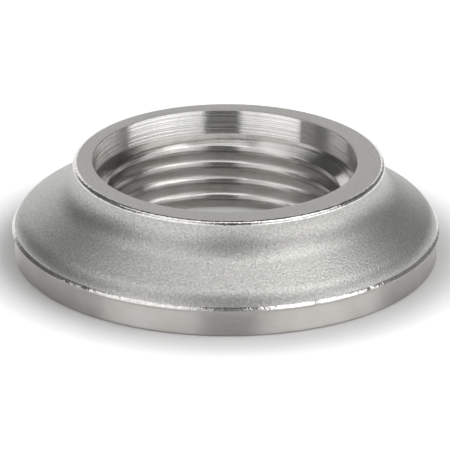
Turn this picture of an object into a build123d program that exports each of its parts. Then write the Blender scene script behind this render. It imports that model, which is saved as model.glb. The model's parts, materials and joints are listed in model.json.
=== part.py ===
from build123d import *
from math import atan, ceil, cos, degrees, radians, tan
import os

# Weld spud: a cast and machined flange boss with a tapered pipe thread, welded over a hole in a tank wall.
# The origin is the centre of the flat weld face, and +Z runs along the bore towards the rim.
# All sizes are in millimetres and degrees.

# Overall
height = 12.8
flange_diameter = 54.0

# Flange edge, turned up to a thin lip that the lathe tool left standing
edge_height = 3.2
base_break = 0.25
lip_proud = 0.35
lip_land = 0.1
lip_bevel = 0.35

# Cast flare, from the lip over a soft shoulder and up a hollow neck to the hub
shoulder_width = 0.45
shoulder_rise = 0.72
shoulder_radius = 3.4
hub_height = 3.58
neck_radius = 4.8

# Bore and its right-handed tapered pipe thread, 1-11.5
bore_diameter = 30.2
bore_break = 0.5
thread_depth = 1.05
threads_per_inch = 11.5
taper_on_diameter = 1 / 16
flank_angle = 60.0
root_flat = 0.08

# Smooth recess above the thread, and the faced rim round it
recess_step = 1.05
recess_depth = 3.25
recess_break = 0.2
rim_wall = 2.75
rim_break = 0.3

# The thread cutter opens this far inside the bore, and fillets leave this share of a wall straight
cutter_reach = 0.3
straight_share = 0.03

edge_radius = flange_diameter / 2
bore_radius = bore_diameter / 2
root_radius = bore_radius + thread_depth
recess_radius = root_radius + recess_step
hub_radius = recess_radius + rim_wall
recess_floor = height - recess_depth
pitch = 25.4 / threads_per_inch


def fitted_radii(corners, radii):
    """The fillet radii, each limited so that the fillets at both ends of a wall leave some of it straight."""
    points = [Vector(*corner) for corner in corners]
    reach = [0.0]
    for before, corner, after, radius in zip(points, points[1:], points[2:], radii):
        turn = (corner - before).get_angle(after - corner)
        reach.append(radius * tan(radians(turn / 2)))
    reach.append(0.0)

    fitted = []
    for i, radius in enumerate(radii, start=1):
        limits = [1.0]
        for wall_start in (i - 1, i):
            wall = (points[wall_start + 1] - points[wall_start]).length
            limits.append((1 - straight_share) * wall / (reach[wall_start] + reach[wall_start + 1]))
        fitted.append(radius * min(limits))
    return fitted


def casting():
    """The cast and turned outside with its rim and recess, and a plain hole where the thread belongs."""
    lip_radius = edge_radius + lip_proud
    lip_bottom = edge_height + lip_proud
    lip_edge = lip_bottom + lip_land
    bevel_end = (lip_radius - lip_bevel, lip_edge + lip_bevel)

    cast_corners = [
        bevel_end,
        (bevel_end[0] - shoulder_width, bevel_end[1] + shoulder_rise),
        (hub_radius, height - hub_height),
        (hub_radius, height - rim_break),
    ]
    radii = fitted_radii(cast_corners, [shoulder_radius, neck_radius])
    cast_skin = FilletPolyline(*cast_corners, radius=radii)

    machined = Polyline(
        (hub_radius, height - rim_break),
        (hub_radius - rim_break, height),
        (recess_radius + recess_break, height),
        (recess_radius, height - recess_break),
        (recess_radius, 0),
        (edge_radius - base_break, 0),
        (edge_radius, base_break),
        (edge_radius, edge_height),
        (lip_radius, lip_bottom),
        (lip_radius, lip_edge),
        bevel_end,
    )
    return revolve(make_face(Plane.XZ * (cast_skin + machined)), axis=Axis.Z)


def thread_groove(first_turn, turns):
    """The tapered helical groove, a V with a narrow flat root. Turn 0 starts at the weld face."""
    slope = taper_on_diameter / 2
    start = first_turn * pitch
    start_radius = root_radius - slope * (recess_floor - start)
    mouth_radius = bore_radius - slope * pitch * turns - cutter_reach
    mouth_half = root_flat / 2 + (start_radius - mouth_radius) * tan(radians(flank_angle / 2))

    section = Polyline(
        (start_radius, start - root_flat / 2),
        (start_radius, start + root_flat / 2),
        (mouth_radius, start + mouth_half),
        (mouth_radius, start - mouth_half),
        close=True,
    )
    pitch_on_cone = pitch / cos(atan(slope))
    helix = Helix(pitch_on_cone, pitch * turns, start_radius, center=(0, 0, start), cone_angle=degrees(atan(slope)))
    return sweep(make_face(Plane.XZ * section), path=helix, is_frenet=True)


def threaded_sleeve():
    """The thread in a tube that is longer than the spud, cut off at the weld face and at the recess floor."""
    turns = ceil(recess_floor / pitch) + 2
    tube_bottom = -2 * pitch
    tube = revolve(
        make_face(Plane.XZ * Polyline(
            (bore_radius, tube_bottom),
            (recess_radius, tube_bottom),
            (recess_radius, turns * pitch),
            (bore_radius, turns * pitch),
            close=True,
        )),
        axis=Axis.Z,
    )
    chamfer_radius = bore_radius + bore_break
    keep = revolve(
        make_face(Plane.XZ * Polyline(
            (chamfer_radius, 0),
            (recess_radius, 0),
            (recess_radius, recess_floor),
            (chamfer_radius - recess_floor, recess_floor),
            close=True,
        )),
        axis=Axis.Z,
    )
    return (tube - thread_groove(-1, turns)) & keep


os.makedirs("parts", exist_ok=True)
export_step(casting() + threaded_sleeve(), "parts/weld_spud.step")
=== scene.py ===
"""Looks of the weld spud: a cast stainless boss with a turned flange edge and a tapered pipe thread.

Lengths are in metres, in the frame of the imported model. The weld face is at height 0, and the bore
runs along +Z.
"""

import json
from math import cos, exp, pi, radians, sin, tan

import bmesh
import bpy
import numpy as np
from mathutils import Matrix, Vector


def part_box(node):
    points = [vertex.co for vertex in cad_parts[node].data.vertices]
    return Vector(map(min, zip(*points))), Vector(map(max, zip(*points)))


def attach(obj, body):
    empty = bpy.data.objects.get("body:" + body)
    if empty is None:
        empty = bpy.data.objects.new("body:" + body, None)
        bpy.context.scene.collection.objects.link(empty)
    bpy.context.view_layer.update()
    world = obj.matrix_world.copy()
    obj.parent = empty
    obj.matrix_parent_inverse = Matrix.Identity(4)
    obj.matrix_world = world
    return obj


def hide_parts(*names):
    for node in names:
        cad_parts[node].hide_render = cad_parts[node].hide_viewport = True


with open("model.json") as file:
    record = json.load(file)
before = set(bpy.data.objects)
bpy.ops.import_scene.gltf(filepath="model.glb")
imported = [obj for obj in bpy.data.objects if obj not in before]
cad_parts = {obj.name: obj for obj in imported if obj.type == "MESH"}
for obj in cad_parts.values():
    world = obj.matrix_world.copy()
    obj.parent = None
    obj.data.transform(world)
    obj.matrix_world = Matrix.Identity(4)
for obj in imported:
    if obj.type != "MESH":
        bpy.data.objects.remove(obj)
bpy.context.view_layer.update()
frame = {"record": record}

mm = 0.001

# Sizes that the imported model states
mounts = {mount["name"]: mount for mount in frame["record"]["mounts"]}
high_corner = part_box("weld_spud")[1]
height = high_corner.z
lip_radius = high_corner.x
edge_radius = mounts["flange_edge"]["dims"]["r_mm"] * mm

# Flange edge and the thin lip over it
base_break = 0.25 * mm
edge_height = 3.2 * mm
lip_land = 0.1 * mm
lip_proud = lip_radius - edge_radius
lip_top = edge_height + 2 * lip_proud + lip_land
edge_soften = 0.1 * mm

# Knocks on the lip: each one's azimuth in degrees and its depth
nicks = [(-65, 0.14 * mm), (-47, 0.22 * mm), (-131.5, 0.16 * mm), (-139, 0.2 * mm)]
nick_width = 0.45 * mm

# Cast flare, neck and hub. The hub stands a little off the flange's axis.
shoulder_width = 0.4 * mm
shoulder_rise = 1.2 * mm
shoulder_radius = 3.5 * mm
hub_height = 3.35 * mm
neck_radius = 5.0 * mm
rim_round = 0.5 * mm
hub_radius = 19.95 * mm
hub_shift = Vector((0.35 * mm, -0.35 * mm, 0))

# Recess and thread, with a sloping ledge between them. They stand a little off that axis on the other side.
recess_radius = 16.95 * mm
recess_floor = 9.55 * mm
recess_break = 0.06 * mm
ledge_drop = 0.5 * mm
bore_break = 0.08 * mm
bore_shift = Vector((-0.15 * mm, 0.15 * mm, 0))
inch = 25.4 * mm
threads_per_inch = 11.5
pitch = inch / threads_per_inch
root_taper = 1 / 32
crest_taper = 1 / 22
crest_radius = 15.1 * mm
thread_depth = 1.34 * mm
flank_slope = tan(radians(30))
root_flat = 0.07 * mm
crest_round = 0.08 * mm
root_round = 0.03 * mm

# Steps round the part: what is machined has half as many as the cast skin
cast_steps = 720
turned_steps = cast_steps // 2

# Edges sharper than this angle stay sharp, and points nearer than this distance are one
sharp_angle = radians(28)
merge_distance = 0.0001 * mm

# Noise is mostly between these values
noise_low = 0.35
noise_high = 0.65

# Camera, as fitted to the photo. The picture is this many pixels wide, and the weld face's centre lies at
# this pixel of it.
picture = 450
centre_pixel = (225.56, 253.12)
pixels_per_mm = 7.804
camera_distance = 1498 * mm
camera_elevation = radians(22.84)
camera_roll = radians(0.345)

# Studio
wall_distance = 0.9
ceiling_height = 0.95
room_grey = 0.07
table_size = 3.0
table_grey = 0.8
table_glow = 0.5
# The floor's glow rises over this width from the flange's edge, which paints a darker ring of shadow round
# the spud
painted_shadow_reach = 9 * mm


def arc_corner(before, corner, after, radius, pieces):
    """Points of the arc that rounds one corner of an outline."""
    into = (before - corner).normalized()
    out = (after - corner).normalized()
    half_turn = (pi - into.angle(out)) / 2
    centre = corner + (into + out).normalized() * (radius / cos(half_turn))
    first = corner + into * radius * tan(half_turn) - centre
    turn = 2 * half_turn if into.cross(out) < 0 else -2 * half_turn
    return [centre + Matrix.Rotation(turn * i / pieces, 2) @ first for i in range(pieces + 1)]


def rounded(corners, rounds, step):
    """An outline with rounded corners, whose straight runs are divided into steps of about this length.

    Each round is a radius and the number of pieces in its arc.
    """
    corners = [Vector(corner) for corner in corners]
    bends = []
    for before, corner, after, (radius, pieces) in zip(corners, corners[1:], corners[2:], rounds):
        bends.append(arc_corner(before, corner, after, radius, pieces) if radius else [corner])
    bends.append([corners[-1]])

    points = [corners[0]]
    for bend in bends:
        start = points[-1]
        run = bend[0] - start
        pieces = max(1, round(run.length / step))
        points += [start + run * (i / pieces) for i in range(1, pieces + 1)]
        points += bend[1:]
    return points


def smooth_step(low, high, value):
    share = min(max((value - low) / (high - low), 0), 1)
    return share * share * (3 - 2 * share)


def on_ring(radius, z, angle):
    return Vector((radius * cos(angle), radius * sin(angle), z))


def edge_outline():
    """Half outline of the turned flange edge, from the weld face up to the lip."""
    corners = [
        (edge_radius - base_break, 0),
        (edge_radius, base_break),
        (edge_radius, edge_height),
        (lip_radius, edge_height + lip_proud),
        (lip_radius, edge_height + lip_proud + lip_land),
    ]
    rounds = [(edge_soften, 2), (edge_soften, 2), (0, 0)]
    return rounded(corners, rounds, step=0.4 * mm)


def lip_outline():
    """Half outline of the lip's bevel."""
    return rounded([(lip_radius, lip_top - lip_proud), (edge_radius, lip_top)], [], step=0.2 * mm)


def lip_place(radius, z, angle):
    """A point of the flange edge. Knocks have pushed the lip in at a few places."""
    dent = 0
    for place, depth in nicks:
        away = (angle - radians(place) + pi) % (2 * pi) - pi
        dent += depth * exp(-(away * edge_radius / nick_width) ** 2)
    over_edge = smooth_step(edge_height, edge_height + lip_proud, z)
    under_skin = 1 - smooth_step(lip_top - lip_proud, lip_top, z)
    return on_ring(radius - dent * over_edge * under_skin, z, angle)


def cast_outline():
    """Half outline of the cast skin, from the lip's bevel up to the edge of the rim face."""
    corners = [
        (edge_radius, lip_top),
        (edge_radius - shoulder_width, lip_top + shoulder_rise),
        (hub_radius, height - hub_height),
        (hub_radius, height - rim_round),
    ]
    rounds = [(shoulder_radius, 10), (neck_radius, 20)]
    return rounded(corners, rounds, step=0.22 * mm)


def hub_edge_outline():
    """Half outline of the rounded edge between the hub's wall and the rim face."""
    corners = [
        (hub_radius, height - rim_round),
        (hub_radius, height),
        (hub_radius - rim_round, height),
    ]
    # A full round would leave straight runs of no length at its ends.
    nearly_all = 0.99
    return rounded(corners, [(nearly_all * rim_round, 5)], step=0.22 * mm)


def cast_place(radius, z, angle):
    """A point of the cast skin. The hub is shifted, and the flare leans over to meet it."""
    return on_ring(radius, z, angle) + hub_shift * smooth_step(lip_top, height - hub_height, z)


def rim_outline():
    """Half outline of the faced rim and its inner edge. Its first ring is joined to the hub's edge later."""
    corners = [
        (hub_radius - 2 * rim_round, height),
        (recess_radius + recess_break, height),
        (recess_radius, height - recess_break),
    ]
    return rounded(corners, [(recess_break, 2)], step=0.3 * mm)


def recess_outline():
    """Half outline of the recess, from the rim's inner edge down to the recess floor."""
    corners = [(recess_radius, height - recess_break), (recess_radius, recess_floor)]
    return rounded(corners, [], step=0.3 * mm)


def rim_place(radius, z, angle):
    """A point of the rim face, which reaches from the shifted recess to the shifted hub."""
    share = (radius - recess_radius) / (hub_radius - recess_radius)
    return on_ring(radius, z, angle) + bore_shift.lerp(hub_shift, share)


def bore_place(radius, z, angle):
    """A point of the recess or the thread."""
    return on_ring(radius, z, angle) + bore_shift


def thread_turn(depth):
    """One turn of the thread's outline, from one crest's middle to the next.

    Each point is its height from the root's middle and its depth under the crest.
    """
    flank_height = depth * flank_slope
    corners = [
        (-pitch / 2, 0),
        (-root_flat / 2 - flank_height, 0),
        (-root_flat / 2, depth),
        (root_flat / 2, depth),
        (root_flat / 2 + flank_height, 0),
        (pitch / 2, 0),
    ]
    rounds = [(crest_round, 3), (root_round, 2), (root_round, 2), (crest_round, 3)]
    return rounded(corners, rounds, step=0.55 * mm)


def thread_rows():
    """The thread's columns of points, one for each step round the bore. The rows rise along the helix.

    Both ends are cut off level, at the weld face and at the foot of the ledge.
    """
    columns = []
    for j in range(turned_steps + 1):
        heights = []
        depths = []
        for turn in range(-1, int(recess_floor / pitch) + 2):
            middle = (turn + j / turned_steps) * pitch
            depth = thread_depth + (crest_taper - root_taper) * (recess_floor - middle)
            for point in thread_turn(depth)[:-1]:
                heights.append(middle + point.x)
                depths.append(point.y)
        z = np.clip(heights, 0, recess_floor - ledge_drop)
        crest = crest_radius - crest_taper * (recess_floor - z)
        radius = crest + np.interp(z, heights, depths)
        radius = np.maximum(radius, crest + bore_break - z)
        columns.append([bore_place(r, level, 2 * pi * j / turned_steps) for r, level in zip(radius, z)])
    return columns


class Skin:
    """The spud's mesh while it is built from rings of points. Each face remembers its finish."""

    finishes = [
        "turned_edge",
        "painted_highlight_edge",
        "cast_skin",
        "faced_rim",
        "turned_recess",
        "ledge",
        "cut_thread",
        "weld_face",
    ]

    def __init__(self):
        self.shape = bmesh.new()

    def face(self, corners, finish):
        self.shape.faces.new(corners).material_index = self.finishes.index(finish)

    def rings(self, outline, place, count, finish):
        """Turns an outline round the axis, and returns its first and last rings."""
        angles = [2 * pi * j / count for j in range(count)]
        rings = []
        for point in outline:
            rings.append([self.shape.verts.new(place(point.x, point.y, angle)) for angle in angles])
        for low, high in zip(rings, rings[1:]):
            self.between(low, high, finish)
        return rings[0], rings[-1]

    def between(self, low, high, finish):
        """Joins two rings. The first may have twice as many points as the second."""
        share = len(low) // len(high)
        count = len(high)
        for j in range(count):
            after = (j + 1) % count
            if share == 1:
                self.face((low[j], low[after], high[after], high[j]), finish)
            else:
                middle = low[2 * j + 1]
                self.face((low[2 * j], middle, high[j]), finish)
                self.face((middle, high[after], high[j]), finish)
                self.face((middle, low[2 * after], high[after]), finish)

    def thread(self, finish):
        """Adds the thread, and returns its ring at the weld face and its ring at the ledge's foot."""
        columns = [[self.shape.verts.new(point) for point in column] for column in thread_rows()]
        for here, there in zip(columns, columns[1:]):
            for i in range(len(here) - 1):
                self.face((here[i], here[i + 1], there[i + 1], there[i]), finish)
        ends = columns[:-1]
        return [column[0] for column in ends], [column[-1] for column in ends]

    def finished(self, name):
        """The closed mesh. Rows that the thread's ends cut off have no size, and are merged away."""
        bmesh.ops.remove_doubles(self.shape, verts=self.shape.verts, dist=merge_distance)
        bmesh.ops.recalc_face_normals(self.shape, faces=self.shape.faces)
        mesh = bpy.data.meshes.new(name)
        self.shape.to_mesh(mesh)
        self.shape.free()
        return mesh


def spud_mesh():
    """The whole spud as one closed mesh, from the flange edge over the hub and down the bore."""
    skin = Skin()
    base, _ = skin.rings(edge_outline(), lip_place, cast_steps, "turned_edge")
    # The lip's bevel takes the painted highlight finish
    skin.rings(lip_outline(), lip_place, cast_steps, "painted_highlight_edge")
    skin.rings(cast_outline(), cast_place, cast_steps, "cast_skin")
    _, hub = skin.rings(hub_edge_outline(), cast_place, cast_steps, "painted_highlight_edge")
    rim, _ = skin.rings(rim_outline(), rim_place, turned_steps, "faced_rim")
    _, floor = skin.rings(recess_outline(), bore_place, turned_steps, "turned_recess")
    mouth, top = skin.thread("cut_thread")
    skin.between(hub, rim, "faced_rim")
    # The ledge's dark finish paints shade at the recess floor
    skin.between(floor, top, "ledge")
    skin.between(base, mouth, "weld_face")
    return skin.finished("weld_spud_skin")


class Metal:
    """A procedural stainless finish. Its colour varies a little, and its relief is added layer by layer."""

    def __init__(self, name, roughness):
        self.material = bpy.data.materials.new(name)
        self.material.use_nodes = True
        self.nodes = self.material.node_tree.nodes
        self.links = self.material.node_tree.links
        self.shader = self.nodes["Principled BSDF"]
        self.shader.inputs["Metallic"].default_value = 1
        self.shader.inputs["Roughness"].default_value = roughness
        self.place = self.nodes.new("ShaderNodeTexCoord").outputs["Object"]
        self.relief = None

    def height(self):
        """The height above the weld face, in metres."""
        split = self.nodes.new("ShaderNodeSeparateXYZ")
        self.links.new(self.place, split.inputs[0])
        return split.outputs["Z"]

    def radius(self):
        """The distance from the bore's axis, in metres."""
        flat = self.nodes.new("ShaderNodeVectorMath")
        flat.operation = "MULTIPLY"
        flat.inputs[1].default_value = (1, 1, 0)
        self.links.new(self.place, flat.inputs[0])
        length = self.nodes.new("ShaderNodeVectorMath")
        length.operation = "LENGTH"
        self.links.new(flat.outputs[0], length.inputs[0])
        return length.outputs["Value"]

    def speckle(self, size):
        """Noise in space, with features of about this size."""
        made = self.nodes.new("ShaderNodeTexNoise")
        made.inputs["Scale"].default_value = 1 / size
        made.inputs["Detail"].default_value = 2
        self.links.new(self.place, made.inputs["Vector"])
        return made.outputs["Fac"]

    def rings(self, distance, size):
        """Noise along one distance, which gives the rings that a turning tool leaves."""
        made = self.nodes.new("ShaderNodeTexNoise")
        made.noise_dimensions = "1D"
        made.inputs["Scale"].default_value = 1 / size
        made.inputs["Detail"].default_value = 3
        self.links.new(distance, made.inputs["W"])
        return made.outputs["Fac"]

    def ridges(self, distance, spacing):
        """The tool's ridges along one distance: each rises evenly and ends in a sharp step."""
        scaled = self.nodes.new("ShaderNodeMath")
        scaled.operation = "DIVIDE"
        scaled.inputs[1].default_value = spacing
        self.links.new(distance, scaled.inputs[0])
        made = self.nodes.new("ShaderNodeMath")
        made.operation = "FRACT"
        self.links.new(scaled.outputs[0], made.inputs[0])
        return made.outputs[0]

    def upright(self, value, wall_lean=0.3, flank_lean=0.6):
        """Keeps a value on upright walls alone, and fades it out on the thread's flanks.

        The two leans are heights of the surface's unit normal.
        """
        split = self.nodes.new("ShaderNodeSeparateXYZ")
        self.links.new(self.nodes.new("ShaderNodeNewGeometry").outputs["True Normal"], split.inputs[0])
        lean = self.nodes.new("ShaderNodeMath")
        lean.operation = "ABSOLUTE"
        self.links.new(split.outputs["Z"], lean.inputs[0])
        made = self.nodes.new("ShaderNodeMath")
        made.operation = "MULTIPLY"
        self.links.new(value, made.inputs[0])
        self.links.new(self.ramp(lean.outputs[0], wall_lean, flank_lean, 1, 0), made.inputs[1])
        return made.outputs[0]

    def ramp(self, value, low, high, first, last):
        """Maps a value from low..high to first..last, and stops there."""
        made = self.nodes.new("ShaderNodeMapRange")
        self.links.new(value, made.inputs["Value"])
        for name, number in zip(("From Min", "From Max", "To Min", "To Max"), (low, high, first, last)):
            made.inputs[name].default_value = number
        return made.outputs["Result"]

    def mottle(self, size, dark, light):
        """Colours the metal between two tones, in patches of about this size."""
        made = self.nodes.new("ShaderNodeMix")
        made.data_type = "RGBA"
        made.inputs["A"].default_value = (*dark, 1)
        made.inputs["B"].default_value = (*light, 1)
        share = self.ramp(self.speckle(size), noise_low, noise_high, 0, 1)
        self.links.new(share, made.inputs["Factor"])
        self.links.new(made.outputs["Result"], self.shader.inputs["Base Color"])

    def bump(self, value, depth):
        """Adds a layer of relief over those before it, this deep in metres."""
        made = self.nodes.new("ShaderNodeBump")
        made.inputs["Distance"].default_value = depth
        self.links.new(value, made.inputs["Height"])
        if self.relief is not None:
            self.links.new(self.relief, made.inputs["Normal"])
        self.relief = made.outputs["Normal"]
        self.links.new(self.relief, self.shader.inputs["Normal"])

    def grooved(self, anisotropy):
        """Spreads reflections across the turning marks, which run round the axis."""
        tangent = self.nodes.new("ShaderNodeTangent")
        tangent.direction_type = "RADIAL"
        tangent.axis = "Z"
        self.links.new(tangent.outputs["Tangent"], self.shader.inputs["Tangent"])
        self.shader.inputs["Anisotropic"].default_value = anisotropy
        quarter_turn = 0.25
        self.shader.inputs["Anisotropic Rotation"].default_value = quarter_turn


def cast_skin():
    """The grainy skin that the mould left."""
    metal = Metal("cast_skin", 0.43)
    metal.mottle(0.25 * mm, (0.45, 0.445, 0.425), (0.62, 0.615, 0.59))
    metal.bump(metal.speckle(0.3 * mm), 0.05 * mm)
    return metal.material


def turned_edge():
    """The flange's upright edge, with ridges from the lathe."""
    metal = Metal("turned_edge", 0.4)
    metal.grooved(1.0)
    metal.mottle(3 * mm, (0.6, 0.58, 0.55), (0.64, 0.625, 0.6))
    metal.bump(metal.ridges(metal.height(), 0.25 * mm), -0.03 * mm)
    metal.bump(metal.rings(metal.height(), 0.3 * mm), 0.03 * mm)
    return metal.material


def painted_highlight_edge():
    """The lip and the hub's outer edge, with a smoother finish. Their colour is lighter than the other metal,
    which is a painted highlight along these edges.
    """
    metal = Metal("painted_highlight_edge", 0.2)
    # Light tones here are a painted highlight along the lip and the hub's edge
    metal.mottle(0.6 * mm, (0.66, 0.65, 0.63), (0.82, 0.81, 0.79))
    metal.bump(metal.speckle(0.5 * mm), 0.05 * mm)
    return metal.material


def faced_rim():
    """The flat rim face, faced with a fine feed."""
    metal = Metal("faced_rim", 0.42)
    metal.mottle(0.4 * mm, (0.5, 0.49, 0.47), (0.56, 0.55, 0.53))
    metal.bump(metal.rings(metal.radius(), 0.08 * mm), 0.004 * mm)
    metal.bump(metal.speckle(0.2 * mm), 0.01 * mm)
    return metal.material


def turned_recess():
    """The recess wall, with ridges from the lathe."""
    metal = Metal("turned_recess", 0.2)
    metal.grooved(1.0)
    metal.mottle(3 * mm, (0.84, 0.83, 0.81), (0.9, 0.89, 0.87))
    metal.bump(metal.ridges(metal.height(), 0.28 * mm), -0.078 * mm)
    metal.bump(metal.rings(metal.height(), 0.4 * mm), 0.05 * mm)
    return metal.material


def ledge():
    """The sloping step between the recess and the thread. Its colour is darker than the recess and the
    thread, which is painted shade in the corner at the recess floor.
    """
    metal = Metal("ledge", 0.2)
    # Dark tones here are painted shade at the foot of the recess
    metal.mottle(3 * mm, (0.42, 0.41, 0.39), (0.5, 0.49, 0.47))
    metal.bump(metal.rings(metal.radius(), 0.3 * mm), 0.03 * mm)
    return metal.material


def cut_thread():
    """The thread. Only its crests have ridges, and its flanks are smooth."""
    metal = Metal("cut_thread", 0.2)
    metal.grooved(1.0)
    metal.mottle(3 * mm, (0.66, 0.645, 0.62), (0.72, 0.71, 0.69))
    metal.bump(metal.upright(metal.ridges(metal.height(), 0.2 * mm)), -0.09 * mm)
    metal.bump(metal.rings(metal.height(), 0.3 * mm), 0.04 * mm)
    return metal.material


def weld_face():
    """The underside."""
    metal = Metal("weld_face", 0.35)
    metal.grooved(0.7)
    metal.mottle(3 * mm, (0.54, 0.525, 0.5), (0.58, 0.57, 0.55))
    metal.bump(metal.rings(metal.radius(), 0.1 * mm), 0.004 * mm)
    return metal.material


def weld_spud():
    """The visible spud, with one finish for each way its surfaces were made, plus finishes that paint a
    highlight on its edges and shade at its recess floor, in the order of Skin's list.
    """
    spud = bpy.data.objects.new("weld_spud_skin", spud_mesh())
    bpy.context.scene.collection.objects.link(spud)
    for finish in (turned_edge, painted_highlight_edge, cast_skin, faced_rim, turned_recess, ledge, cut_thread, weld_face):
        spud.data.materials.append(finish())
    spud.data.shade_smooth()
    spud.data.set_sharp_from_angle(angle=sharp_angle)
    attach(spud, "root")
    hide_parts("weld_spud")


def floor():
    """A pale table. It glows a little for the camera and in reflections, so that it shows white.

    The glow starts at the flange's edge and rises over a few millimetres outside it, so the floor round the
    spud is darker. That is a painted contact shadow on top of the spud's real shadow.
    """
    mesh = bpy.data.meshes.new("floor")
    size = table_size
    corners = [(-size, -size, 0), (size, -size, 0), (size, size, 0), (-size, size, 0)]
    mesh.from_pydata(corners, [], [(0, 1, 2, 3)])
    table = bpy.data.objects.new("floor", mesh)
    bpy.context.scene.collection.objects.link(table)

    material = bpy.data.materials.new("floor")
    material.use_nodes = True
    nodes = material.node_tree.nodes
    links = material.node_tree.links
    shader = nodes["Principled BSDF"]
    shader.inputs["Base Color"].default_value = (table_grey, table_grey, table_grey, 1)
    shader.inputs["Roughness"].default_value = 1
    shader.inputs["Specular IOR Level"].default_value = 0
    shader.inputs["Emission Color"].default_value = (1, 1, 1, 1)
    place = nodes.new("ShaderNodeTexCoord").outputs["Object"]
    distance = nodes.new("ShaderNodeVectorMath")
    distance.operation = "LENGTH"
    links.new(place, distance.inputs[0])
    # The glow fades out towards the flange's edge, which is painted shadow round the spud
    painted_shadow_fade = nodes.new("ShaderNodeMapRange")
    painted_shadow_fade.interpolation_type = "SMOOTHSTEP"
    links.new(distance.outputs["Value"], painted_shadow_fade.inputs["Value"])
    painted_shadow_fade.inputs["From Min"].default_value = edge_radius
    painted_shadow_fade.inputs["From Max"].default_value = edge_radius + painted_shadow_reach
    painted_shadow_fade.inputs["To Max"].default_value = table_glow
    links.new(seen(nodes, links, painted_shadow_fade.outputs["Result"]), shader.inputs["Emission Strength"])
    mesh.materials.append(material)


def seen(nodes, links, strength):
    """This strength where the camera looks or a reflection shows the surface, and nothing for other light."""
    path = nodes.new("ShaderNodeLightPath")
    either = path.outputs["Is Camera Ray"]
    for name in ("Is Glossy Ray", "Is Transmission Ray"):
        larger = nodes.new("ShaderNodeMath")
        larger.operation = "MAXIMUM"
        links.new(either, larger.inputs[0])
        links.new(path.outputs[name], larger.inputs[1])
        either = larger.outputs[0]
    scaled = nodes.new("ShaderNodeMath")
    scaled.operation = "MULTIPLY"
    links.new(either, scaled.inputs[0])
    links.new(strength, scaled.inputs[1])
    return scaled.outputs[0]


def lamp(name, place, facing, width, tall, radiance):
    """A soft rectangular lamp, as bright as a panel of this radiance. The camera itself doesn't see it."""
    data = bpy.data.lights.new(name, "AREA")
    data.shape = "RECTANGLE"
    data.size = width
    data.size_y = tall
    data.energy = radiance * pi * width * tall
    made = bpy.data.objects.new(name, data)
    made.location = place
    made.rotation_euler = (-facing).to_track_quat("Z", "Y").to_euler()
    made.visible_camera = False
    bpy.context.scene.collection.objects.link(made)


def wall(name, first, last, bottom, top, radiance):
    """An upright panel that fills the azimuths from first to last, in degrees from +X."""
    middle = radians((first + last) / 2)
    width = 2 * wall_distance * tan(radians((last - first) / 2))
    outward = Vector((cos(middle), sin(middle), 0))
    place = outward * wall_distance + Vector((0, 0, (bottom + top) / 2))
    lamp(name, place, -outward, width, top - bottom, radiance)


def ceiling(name, left, right, front, back, radiance):
    """A level panel over the spud."""
    place = Vector(((left + right) / 2, (front + back) / 2, ceiling_height))
    lamp(name, place, Vector((0, 0, -1)), right - left, back - front, radiance)


def studio():
    """Soft boxes to the left and right, a gap for the camera between them, and a room above and behind.

    Walls are placed by azimuths, and ceilings by the sides that they reach to.
    """
    low = 0.3
    high = 0.9
    behind = 0.6
    wall("right_box", -72, 0, 0, low, radiance=1.65)
    wall("right_box_top", -72, 0, low, high, radiance=0.35)
    wall("left_box", -157, -103, 0, low, radiance=1.4)
    wall("left_box_top", -157, -103, low, high, radiance=0.55)
    wall("back_right", 0, 70, 0, behind, radiance=0.15)
    wall("back", 70, 125, 0, behind, radiance=1.0)
    wall("left_side", 125, 203, 0, behind, radiance=0.05)

    ends = 1.1
    left = -0.17
    right = 0.3
    ceiling("ceiling_left", -ends, left, front=-0.8, back=0.3, radiance=1.1)
    ceiling("ceiling_middle", left, right, front=-0.25, back=-0.02, radiance=2.8)
    ceiling("ceiling_right", right, ends, front=-0.8, back=0.3, radiance=2.0)

    world = bpy.data.worlds.new("room")
    world.use_nodes = True
    background = world.node_tree.nodes["Background"]
    background.inputs["Color"].default_value = (room_grey, room_grey, room_grey, 1)
    bpy.context.scene.world = world
    bpy.context.scene.view_settings.view_transform = "Standard"


def camera():
    """The photo's camera. The weld face's centre is seen at its pixel, and the picture is rolled a little."""
    forward = Vector((0, cos(camera_elevation), -sin(camera_elevation)))
    level_right = Vector((1, 0, 0))
    level_up = Vector((0, sin(camera_elevation), cos(camera_elevation)))
    right = level_right * cos(camera_roll) + level_up * sin(camera_roll)
    up = level_up * cos(camera_roll) - level_right * sin(camera_roll)
    across = (centre_pixel[0] - picture / 2) / pixels_per_mm * mm
    upward = (picture / 2 - centre_pixel[1]) / pixels_per_mm * mm

    data = bpy.data.cameras.new("camera")
    data.sensor_width = 36
    data.lens = data.sensor_width * pixels_per_mm / mm * camera_distance / picture
    data.clip_start = 0.01
    view = bpy.data.objects.new("camera", data)
    turn = Matrix((right, up, -forward)).transposed()
    place = -right * across - up * upward - forward * camera_distance
    view.matrix_world = Matrix.Translation(place) @ turn.to_4x4()
    bpy.context.scene.collection.objects.link(view)
    bpy.context.scene.camera = view


camera()
studio()
floor()
weld_spud()
